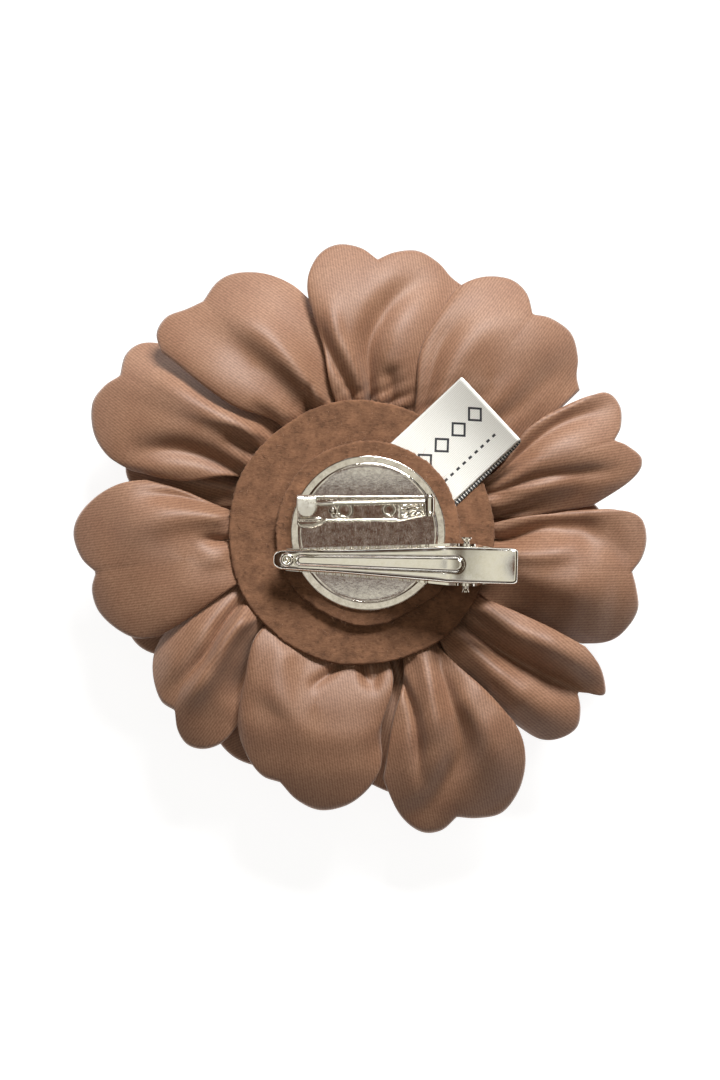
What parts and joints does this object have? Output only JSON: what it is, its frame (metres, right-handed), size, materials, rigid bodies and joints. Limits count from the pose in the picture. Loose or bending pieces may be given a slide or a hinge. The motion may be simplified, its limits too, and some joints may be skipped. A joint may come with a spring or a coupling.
{
  "type": "flower hair clip",
  "caption": "Satin fabric flower, face down, with a felt backing, a sprung alligator hair clip and a hinged bar pin on one metal disc.",
  "frame": {"origin": "middle of the flat crown of the centre button, on the flower's axis, at the front of the flower", "axes": "+Z out of the flower's back, where the clip and pin are; +X along the clip from its nose to its lever; +Y across, from the clip towards the bar pin"},
  "size_m": [0.1042, 0.107, 0.0316],
  "materials": {
    "satin": "satin weave, taupe brown",
    "thread": "twisted sewing thread",
    "core_felt": "stiff felt",
    "felt": "pressed wool-mix felt, cut edge",
    "label": "woven satin ribbon",
    "nickel": "bright nickel plate",
    "button_metal": "pressed, matt",
    "spring_steel": "drawn wire"
  },
  "bodies": {
    "flower": {"back_petal_01": "satin", "back_petal_02": "satin", "back_petal_03": "satin", "back_petal_04": "satin", "back_petal_05": "satin", "back_petal_06": "satin", "back_petal_07": "satin", "back_petal_08": "satin", "back_petal_09": "satin", "back_petal_10": "satin", "back_petal_11": "satin", "middle_petal_01": "satin", "middle_petal_02": "satin", "middle_petal_03": "satin", "middle_petal_04": "satin", "middle_petal_05": "satin", "middle_petal_06": "satin", "middle_petal_07": "satin", "middle_petal_08": "satin", "middle_petal_09": "satin", "front_petal_01": "satin", "front_petal_02": "satin", "front_petal_03": "satin", "front_petal_04": "satin", "front_petal_05": "satin", "front_petal_06": "satin", "front_petal_07": "satin", "button_cover": "satin", "back_gather_thread": "thread", "middle_gather_thread": "thread", "front_gather_thread": "thread", "centre_stitch": "thread", "back_core_disc": "core_felt", "front_core_disc": "core_felt", "big_felt": "felt", "small_felt": "felt", "label": "label", "button_shell": "button_metal", "button_back": "button_metal", "button_shank": "button_metal", "metal_disc": "nickel", "pin_bar": "nickel", "pin_hinge_rivet": "nickel", "clip_lower_jaw": "nickel", "clip_pivot_rivet": "nickel", "clip_spring": "spring_steel"},
    "clip_jaw": {"clip_top_jaw": "nickel"},
    "pin_hub": {"pin_knuckle": "nickel"},
    "pin_wire": {"pin_needle": "nickel"}
  },
  "joints": [
    {"name": "clip_open", "type": "hinge", "parent": "flower", "child": "clip_jaw", "pos_m": [0.01749, -0.00569, 0.0274], "axis": [0.0279, 0.9996, 0], "range_deg": [0, 25], "stiffness_Nm_per_rad": 0.08, "springref_deg": -28.65, "deforming": ["clip_spring"]},
    {"name": "needle_lift", "type": "hinge", "parent": "flower", "child": "pin_hub", "pos_m": [0.011, 0.005, 0.0245], "axis": [0, 1, 0], "range_deg": [0, 80]},
    {"name": "needle_flex", "type": "hinge", "parent": "pin_hub", "child": "pin_wire", "pos_m": [0.0097, 0.0056, 0.0245], "axis": [0, 0, 1], "range_deg": [0, 10], "stiffness_Nm_per_rad": 0.01}
  ]
}
